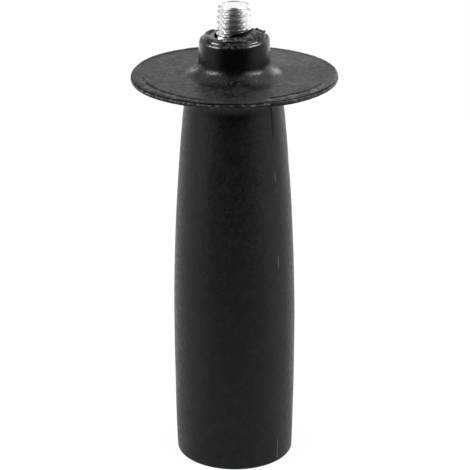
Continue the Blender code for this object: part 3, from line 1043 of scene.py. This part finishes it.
def shape_grip(body):
    on_grip = (body.height > 0.6) * (body.height < FLANGE_UNDERSIDE - 0.2)
    on_grip = on_grip * (body.radius > CORE_MOUTH_RADIUS - 1) * (body.radius > grip_radius(80.0) - 2)
    body.push(outwards=SINK_MARKS * on_grip * lumps(body.points, 11.0, 1))
    lean = LEAN_AT_BASE + (LEAN_AT_NECK - LEAN_AT_BASE) * np.clip(body.height / FLANGE_UNDERSIDE, 0.0, 1.0)
    outer = smooth(body.radius, 8.5, 10.0) * (1 - smooth(body.radius, 15.0, 20.0))
    body.points[:, 0] += lean * outer * (body.height < FLANGE_UNDERSIDE + 0.01)
    step = (body.azimuth > SEAM_AZIMUTH + 0.5) * (1 - smooth(body.azimuth, 50.0, 78.0)) * on_grip
    body.push(outwards=SEAM_STEP * step * smooth(body.height, SEAM_END - 1.5, SEAM_END + 1.5))
    nick = near(body.azimuth, NICK_AZIMUTH, 4.0) * near(body.height, NICK_HEIGHT, 0.8) * on_grip
    body.push(outwards=-NICK_DEPTH * nick)
    body.wear += 0.6 * nick


shape_grip(body)
print(f"nick: {np.sum(body.wear > 0.3)} worn points")

# %% [markdown]
# The two halves of the mould meet on the flange's edge. The plastic there has a dark, wandering crevice, a
# thin bead above it and a ridge of flash below it, which is scuffed pale in tatters. Dirt and painted shade
# darken the crevice and a fine line below the flash, and the pale grey on the ridge and the bead is partly a
# painted highlight.

# %% The flange's edge
CREVICE_RISE = (
    (-60, 0.04), (-27, 0.08), (-15, 0.0), (-8, -0.06), (-4, 0.08), (0, 0.22), (5, 0.24), (10, 0.06),
    (13, 0.05), (15.5, 0.36), (20, 0.4), (28, 0.27), (42, 0.24), (54, 0.04), (75, 0.0),
)


def rim_lumps(body, size, seed):
    """Soft noise along the rim, the same from its top to its bottom."""
    round_about = np.stack([body.out[:, 0], body.out[:, 1], np.zeros(len(body.out))], axis=1) * RIM
    return lumps(round_about, size, seed)


def shape_edge(body):
    edge = smooth(body.radius, RIM - 0.9, RIM - 0.6)
    crevice = edge * near(body.height, CREVICE + 0.03, 0.12)
    ridge = edge * near(body.height, FLASH, 0.14)
    fine_line = edge * near(body.height, FINE_LINE, 0.05)
    bead = smooth(body.radius, RIM - 0.5, RIM - 0.2) * smooth(body.height, CREVICE + 0.14, CREVICE + 0.22)

    waves = rim_lumps(body, 1.5, 4)
    tatters = rim_lumps(body, 0.8, 5)
    wander = along(body.azimuth, CREVICE_RISE) + 0.09 * waves + 0.05 * tatters
    below_top = smooth(FLANGE_TOP + 0.06 - body.height, 0.0, 0.25)
    body.push(up=edge * near(body.height, CREVICE, 0.2) * wander * below_top)
    body.push(up=edge * near(body.height, FINE_LINE, 0.1) * 0.07 * rim_lumps(body, 1.1, 10))
    body.push(outwards=-0.12 * ridge * smooth(tatters, -0.1, 0.5))
    body.push(outwards=-0.06 * bead * smooth(waves, 0.0, 0.5), up=0.04 * bead * tatters)

    # Painted shade with the dirt in the crevice and the fine line; paler ridge and bead, partly painted
    # highlight.
    body.dirt += crevice + 0.9 * fine_line
    body.wear += 1.2 * ridge * smooth(tatters, -0.15, 0.35) + 0.4 * bead * smooth(waves, -0.3, 0.4)
    under_flash = edge * near(body.height, FLANGE_UNDERSIDE + 0.25, 0.12)
    body.wear += 0.5 * under_flash * smooth(rim_lumps(body, 1.0, 13), 0.0, 0.4)


shape_edge(body)
print(f"crevice: {np.sum(body.dirt > 0.5)} dirty points")

# %% [markdown]
# A second, finer line lies further in on the flange's top, left and right of the front, darkened with dirt
# and painted shade. The band between the two lines is scuffed, and on the right it is painted paler still as a
# painted reflection. The flange as a whole came out of the mould slightly warped, and its back edge is
# uneven.

# %% The flange's inner line
LINE_DEPTH = 0.38
LINE_WIDTH = 0.28


def shape_inner_line(body):
    left = smooth(-body.azimuth, 8.0, 22.0) * (1 - smooth(-body.azimuth, 60.0, 100.0))
    right = smooth(body.azimuth, 10.0, 24.0) * (1 - smooth(body.azimuth, 50.0, 80.0))
    line = RIM - 1.7 - 0.8 * smooth(body.azimuth, 0.0, 15.0) + 0.4 * smooth(body.azimuth, 30.0, 50.0)
    line = line - 0.75 * smooth(-body.azimuth, 8.0, 60.0) + 0.15 * rim_lumps(body, 3.0, 11)
    groove = near(body.height, FLANGE_TOP, 0.1) * near(body.radius, line, LINE_WIDTH)
    groove = groove * np.maximum(left, 0.9 * right) * smooth(rim_lumps(body, 1.6, 14), -0.75, -0.1)
    body.push(up=-LINE_DEPTH * groove)
    # Dirt and painted shade darken the sunken line.
    body.dirt += 0.9 * groove

    band = smooth(body.radius, line + 0.1, line + 0.4) * (body.height > CREVICE + 0.25)
    band = band * np.maximum(left, right) * smooth(rim_lumps(body, 1.2, 12), 0.0, 0.5)
    # Scuffed, and paler on the right as a painted reflection.
    body.wear += (0.35 + 0.8 * right) * band
    return groove


groove = shape_inner_line(body)
print(f"inner line: {np.sum(groove > 0.5)} sunken points")

# %% The flange's warp and its back edge
FLANGE_WARP = (
    (-180, 0), (-110, 0), (-90, -0.07), (-60, -0.15), (-30, -0.1), (0, -0.02),
    (36, 0.05), (55, 0.2), (66, 0.21), (82, 0.1), (100, 0), (180, 0),
)


def warp_flange(body):
    edge = smooth(body.radius, RIM - 0.9, RIM - 0.6)
    back_left = smooth(-body.azimuth, 118.0, 140.0) * (1 - smooth(-body.azimuth, 150.0, 165.0))
    back_right = smooth(body.azimuth, 140.0, 155.0)
    body.push(outwards=edge * (0.12 * back_left - 0.07 * back_right))
    in_flange = smooth(body.radius, 12.0, RIM) * near(body.height, FLANGE_TOP, 2.5)
    body.push(up=in_flange * along(body.azimuth, FLANGE_WARP))


def shape_back_edge(body):
    """Brings the bead at the back to one even height."""
    at_back = smooth(body.out[:, 1] - 0.25 * (body.azimuth < 0), -0.05, 0.25)
    at_back = at_back * (body.radius > RIM - 0.9) * (body.height > CREVICE + 0.1)
    rounded = 0.1 * smooth(body.radius, RIM - 0.25, RIM - 0.08)
    bead_top = FLANGE_TOP + 0.13 - 0.05 * (body.azimuth > 0) - rounded
    body.push(up=at_back * (bead_top - body.height))


warp_flange(body)
shape_back_edge(body)
print(f"flange's top: up to {body.points[body.radius > RIM - 3.0, 2].max():.2f} mm")

# %% [markdown]
# When the plastic was shot round the bolt, some of it crept up the thread on the right, so the ring is not
# the flat washer of the drawing. Towards the bolt it rises by over a millimetre, its edge rises at the right,
# and a thin skirt climbs the thread in front. Where a point of the ring lies is measured once, and serves all
# the functions below.

# %% Where a point lies on the ring
AT_BOLT = (
    (-180, 0.2), (-140, 0.1), (-95, 0), (-45, 0), (-27, 0.15), (-19, 0.44), (2, 0.57), (23, 0.82),
    (40, 1.05), (55, 1.24), (68, 1.3), (88, 1.2), (115, 0.8), (145, 0.4), (180, 0.2),
)
AT_EDGE = (
    (-180, -0.6), (-141, -0.6), (-136, -0.1), (-60, 0), (58, 0), (68, 0.3), (80, 0.55), (86, 0.6),
    (98, 0.2), (112, 0.0), (122, -0.05), (140, -0.15), (150, -0.3), (180, -0.6),
)


class Ring:
    """For each point of the moulding: if it is in the ring, and how far across, from bolt (0) to wall (1)."""

    def __init__(self, body):
        within = (body.radius < RING_WALL + 0.01) * (body.radius > THREAD_RADIUS + BOLT_CLEARANCE + 0.05)
        self.inside = within * (body.height > RING_TOP - RECESS_DEPTH - 0.01)
        width = RING_WALL - RECESS_RADIUS - 0.1
        self.across = np.clip((body.radius - RECESS_RADIUS - 0.1) / width, 0.0, 1.0)
        self.outer_side = smooth(body.height, COLLAR_TOP + 0.3, RING_TOP - 0.2)
        self.top = self.inside * smooth(body.height, RING_TOP - 0.35, RING_TOP - 0.05)
        self.rise_at_bolt = along(body.azimuth, AT_BOLT)
        self.rise_at_edge = along(body.azimuth, AT_EDGE)


ring = Ring(body)
print(f"ring: {np.sum(ring.inside)} points, {np.sum(ring.top > 0.5)} of them on its top")

# %% The ring's rise towards the bolt
def lift_ring(body, ring):
    rise = ring.rise_at_edge + (ring.rise_at_bolt - ring.rise_at_edge) * (1 - ring.across) ** 1.3
    inner_side = smooth(body.height, RING_TOP - RECESS_DEPTH, RING_TOP - 0.3)
    body.push(up=ring.inside * np.where(ring.across > 0.1, ring.outer_side, inner_side) * rise)
    crept = smooth(ring.rise_at_bolt, 0.1, 0.9)
    uneven = lumps(body.points, 1.1, 6) * (0.03 + 0.06 * crept)
    uneven = uneven + lumps(body.points, 0.5, 7) * (0.03 + 0.08 * crept)
    even_rim = 1 - 0.8 * smooth(ring.across, 0.75, 0.95)
    body.push(up=ring.top * uneven * smooth(ring.across, 0.05, 0.35) * even_rim)


lift_ring(body, ring)
print(f"ring's top: up to {body.points[ring.top > 0.5, 2].max():.2f} mm")

# %% Beside the bolt: closed in front, open on the left, and a skirt up the thread
SKIRT_RISE = ((-14, 0), (-8, 0.5), (2, 0.72), (25, 0.7), (42, 0.64), (59, 0.46), (70, 0.2), (85, 0))


def close_on_bolt(body, ring):
    az = body.azimuth
    hugs = smooth(az, -26.0, -8.0) * (1 - smooth(az, 120.0, 160.0))
    by_bolt = ring.inside * (1 - smooth(ring.across, 0.0, 0.35))
    closes = -0.4 * np.maximum(hugs, 0.5 * smooth(-az, 66.0, 85.0))
    closes = closes * smooth(body.height, RING_TOP - 1.2, RING_TOP)
    opens = 0.4 * smooth(az, -72.0, -55.0) * (1 - smooth(az, -34.0, -24.0))
    body.push(outwards=by_bolt * (closes + opens))
    skirt = ring.inside * (1 - smooth(ring.across, 0.0, 0.03))
    skirt = skirt * smooth(body.height, RING_TOP - 0.3, RING_TOP - 0.06)
    body.push(outwards=0.04 * skirt * hugs, up=skirt * along(az, SKIRT_RISE))

    # The skirt's foot and the gap on the left are painted black: painted shade, carried as dirt.
    black = hugs * ring.inside * (1 - smooth(ring.across, 0.03, 0.06)) * smooth(az, -20.0, -8.0)
    gap = ring.inside * (1 - smooth(ring.across, 0.06, 0.18))
    gap = gap * smooth(az, -80.0, -66.0) * (1 - smooth(az, -30.0, -22.0))
    body.dirt += black + gap
    body.wear -= black + gap
    body.polish += black


close_on_bolt(body, ring)
print(f"skirt: up to {body.points[ring.inside, 2].max():.2f} mm")

# %% The ring's back: a lip round a sunken inside, a torn edge, and a curl beside the bolt
CURL_AZIMUTH = 85.0
CURL_RISE = 0.34


def tear_back(body, ring):
    az = body.azimuth
    behind = np.maximum(smooth(az, 72.0, 84.0), smooth(-az, 85.0, 110.0))
    lip = ring.top * smooth(ring.across, 0.86, 0.96) * behind
    sunken = ring.top * smooth(ring.across, 0.25, 0.5) * (1 - smooth(ring.across, 0.86, 0.94)) * behind
    body.push(up=0.12 * lip - 0.36 * sunken)
    body.push(up=CURL_RISE * ring.top * smooth(ring.across, 0.03, 0.2) * near(az, CURL_AZIMUTH, 3.2))
    wall = smooth(ring.across, 0.8, 0.95) * ring.inside * ring.outer_side * smooth(ring.rise_at_edge, 0.1, 0.5)
    body.push(outwards=0.14 * wall)

    torn = ring.top * smooth(az, 79.0, 82.0) * (1 - smooth(az, 100.0, 112.0))
    # The rim of the back and the torn edge are painted dark as painted shade, carried as dirt, and polished.
    rim = ring.top * smooth(ring.across, 0.72, 0.8) * smooth(np.abs(az), 66.0, 90.0)
    body.wear += wall * smooth(az, 66.0, 78.0) * (1 - smooth(az, 94.0, 104.0)) - rim - torn
    body.dirt += 0.9 * rim + torn
    body.polish += rim + torn


tear_back(body, ring)
print(f"ring's wall: up to {np.hypot(*body.points[ring.inside, :2].T).max():.2f} mm from the axis")

# %% [markdown]
# The ring's top is scraped where it meets the tool. The ledges below it are polished, and they and the
# collar's edge are painted paler as painted highlights. The ring's groove and its foot are darkened with dirt
# and painted shade. These marks only change the finish. Last of all, the collar's edge and the ledges are
# tilted, as they don't run quite level.

# %% Marks on the ring and the collar
def scuff_ring(body, ring):
    az = body.azimuth
    patches = smooth(lumps(body.points, 0.8, 8), -0.05, 0.45)
    front = smooth(az, -55.0, -30.0) * (1 - smooth(az, 60.0, 80.0)) * smooth(ring.across, 0.035, 0.07)
    front = front * (1 - smooth(ring.across, 0.72, 0.85))
    body.wear += ring.top * front * (0.6 + 0.4 * lumps(body.points, 0.35, 15))
    raised = smooth(az, 45.0, 75.0) * (1 - smooth(az, 110.0, 140.0))
    body.wear += ring.top * patches * (0.15 + 0.5 * np.maximum(raised, smooth(-az, 40.0, 90.0)))
    beside_bolt = near(ring.across, 0.2, 0.12) * smooth(az, 8.0, 35.0) * (1 - smooth(az, 70.0, 85.0))
    body.wear += 0.6 * ring.top * beside_bolt * patches
    # The ring's groove is darkened with dirt and painted shade.
    body.dirt += 0.9 * ring.top * near(body.radius, RING_WALL - 0.6, 0.14)


def mark_ledges(body):
    aside = np.abs(body.azimuth)
    ledge = (body.radius > RING_WALL - 0.01) * (body.radius < RING_RADIUS + 0.01)
    ledge = ledge * smooth(body.height, COLLAR_TOP, COLLAR_TOP + 0.1)
    body.polish += ledge
    # The ledges' front is painted paler, as a painted highlight carried in wear.
    body.wear += 0.35 * ledge * (1 - smooth(aside, 14.0, 30.0))
    # The ring's foot is darkened as painted shade, most at the front, carried as dirt.
    foot = near(body.height, COLLAR_TOP - 0.1, 0.16) * near(body.radius, RING_RADIUS + 0.08, 0.16)
    body.dirt += foot * (1 - 0.7 * smooth(aside, 68.0, 82.0))


def mark_collar(body):
    aside = np.abs(body.azimuth)
    # A paler band on the collar's edge, lower at the sides and fading beyond them: a painted highlight with
    # some wear.
    middle = COLLAR_TOP - 0.2 - 0.2 * smooth(aside, 30.0, 60.0)
    edge = near(body.height, middle, 0.28) * (body.radius > COLLAR_RADIUS - COLLAR_EDGE - 0.01)
    edge = edge * (body.radius < COLLAR_RADIUS + 0.5) * (1 - 0.7 * smooth(aside, 60.0, 80.0))
    body.wear += 0.45 * edge * (0.7 + 0.5 * lumps(body.points, 0.7, 9))
    body.polish += 0.5 * edge
    fillet = (body.radius > COLLAR_RADIUS + 0.2) * (body.radius < COLLAR_RADIUS + COLLAR_FILLET)
    fillet = fillet * (body.height > FLANGE_TOP) * (1 - smooth(body.radius, 10.6, 11.0))
    body.polish += 0.8 * fillet * smooth(aside, 72.0, 92.0)


scuff_ring(body, ring)
mark_ledges(body)
mark_collar(body)
print(f"polished: {np.sum(body.polish > 0.5)} points")

# %% The tilt of the collar's edge and of the ledges
EDGE_RISE = (
    (-180, 0), (-90, -0.2), (-50, -0.17), (-20, -0.08), (0, 0.0),
    (20, 0.12), (35, 0.25), (52, 0.36), (90, 0.3), (180, 0),
)
LEDGE_RISE = (
    (-180, 0), (-90, -0.1), (-40, -0.06), (0, -0.1), (26, -0.1),
    (38, 0.0), (52, 0.12), (66, 0.22), (90, 0.22), (180, 0),
)


def tilt_collar(body):
    tilt = along(body.azimuth, EDGE_RISE) * (body.radius > RING_RADIUS + 0.1)
    tilt = tilt + along(body.azimuth, LEDGE_RISE) * (body.radius < RING_RADIUS + 0.1)
    body.push(up=tilt * smooth(body.height, 96.0, 99.5) * (body.radius > RECESS_RADIUS - 0.4))


tilt_collar(body)
body.write()
print(f"moulding: {np.mean(body.wear > 0.2):.1%} of its points worn, {np.mean(body.dirt > 0.2):.1%} dirty")

# %% [markdown]
# ## The bolt
# The blank is a turned rod with a chamfered tip and a hexagon head, and the thread tree cuts the helix into
# it. Its rows have to be close enough together for the flanks to come out straight: twenty to each pitch. A
# ridge could be swept along a helix and joined to a rod instead, but the join would leave messy edges. The
# head is hidden in the moulding, and is made all the same, because it is what holds the bolt.

# %% Outline of the bolt
ROWS_PER_PITCH = 20
LEAD_IN = 0.2  # height in which the shank widens to the thread
TIP_RIM = 0.12
DISH_SLOPE = 0.24
DISH_DEPTH = 0.13
THREAD_START = STUD_TIP - THREAD_LENGTH


def bolt_outline():
    points = [(0.0, HEAD_BOTTOM)]
    onwards(points, (HEAD_APOTHEM, HEAD_BOTTOM), 3)
    onwards(points, (HEAD_APOTHEM, head_top), 3)
    onwards(points, (SHANK_RADIUS, head_top), 2)
    onwards(points, (SHANK_RADIUS, THREAD_START), 6)
    onwards(points, (THREAD_RADIUS, THREAD_START + LEAD_IN), 2)
    rows = round((THREAD_LENGTH - LEAD_IN - TIP_CHAMFER) / THREAD_PITCH * ROWS_PER_PITCH)
    onwards(points, (THREAD_RADIUS, STUD_TIP - TIP_CHAMFER), rows)
    rim = THREAD_RADIUS - TIP_CHAMFER
    onwards(points, (rim, STUD_TIP), 10)
    onwards(points, (rim - TIP_RIM, STUD_TIP), 1)
    onwards(points, (rim - TIP_RIM - DISH_SLOPE, STUD_TIP - DISH_DEPTH), 3)
    onwards(points, (0.0, STUD_TIP - DISH_DEPTH), 8)
    return points


# %% The bolt with its thread
BOLT_STEPS = 120
head_sizes = {"Apothem": HEAD_APOTHEM * MM, "Bottom": HEAD_BOTTOM * MM, "Top": head_top * MM}
thread_sizes = {
    "Crest radius": THREAD_RADIUS * MM,
    "Pitch": THREAD_PITCH * MM,
    "Depth": THREAD_DEPTH * MM,
    "Start": THREAD_START * MM,
    "Run-out": THREAD_PITCH * MM,
}
bolt = turn("bolt", bolt_outline(), zinc, BOLT_STEPS, ((thread, thread_sizes), (hexagon, head_sizes)))
print(f"thread: {THREAD_LENGTH / THREAD_PITCH:.1f} turns")

# %% [markdown]
# Metal bulges out over the ring on the left of the thread. The roots of the thread are darker and duller, and
# the front of its lowest turns, above the skirt, is darkened as painted shade and a painted reflection of the
# black ring.

# %% Marks on the bolt
ROOT_DIRT = 0.4
LOW_FRONT_DIRT = 0.9
BULGE_AZIMUTH = -58.0
BULGE_RADIUS = THREAD_RADIUS + 0.3


def mark_bolt(rod):
    in_thread = (rod.height > THREAD_START) * (rod.height < STUD_TIP - 0.3)
    # The roots are darker and duller than the crests.
    rod.dirt += in_thread * smooth(THREAD_RADIUS - rod.radius, 0.45, 0.76) * ROOT_DIRT
    bulge = near(rod.azimuth, BULGE_AZIMUTH, 26.0) * near(rod.height, RING_TOP - 0.5, 0.75)
    bulge = bulge * (rod.radius > 3.0)
    rod.push(outwards=bulge * (BULGE_RADIUS - rod.radius))
    # Painted shade and a painted reflection of the black ring on the front of the lowest turns.
    low_front = 1 - smooth(rod.height, RING_TOP + 0.8, RING_TOP + 7.0)
    low_front = low_front * (1 - smooth(np.abs(rod.azimuth - 2.0), 22.0, 46.0))
    rod.dirt += LOW_FRONT_DIRT * in_thread * low_front
    rod.dirt *= 1 - bulge


rod = Sculpt(bolt.data)
mark_bolt(rod)
rod.write()
print(f"bolt: dull on {np.mean(rod.dirt > 0.5):.0%} of its points")

# %% [markdown]
# ## Handing over
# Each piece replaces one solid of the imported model, rides on its only body, `root`, and takes a finish that
# the record names. Edges sharper than the angle below stay crisp under smooth shading.

# %% Hand over the pieces
SHARP_EDGE = 42.0
pieces = ((moulding, "handle_moulding", "black_plastic"), (bolt, "threaded_stud", "zinc_steel"))
for piece, node, finish in pieces:
    piece.data.set_sharp_from_angle(angle=math.radians(SHARP_EDGE))
    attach(piece, "root")
    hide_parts(node)

bpy.context.scene.view_settings.view_transform = "Standard"
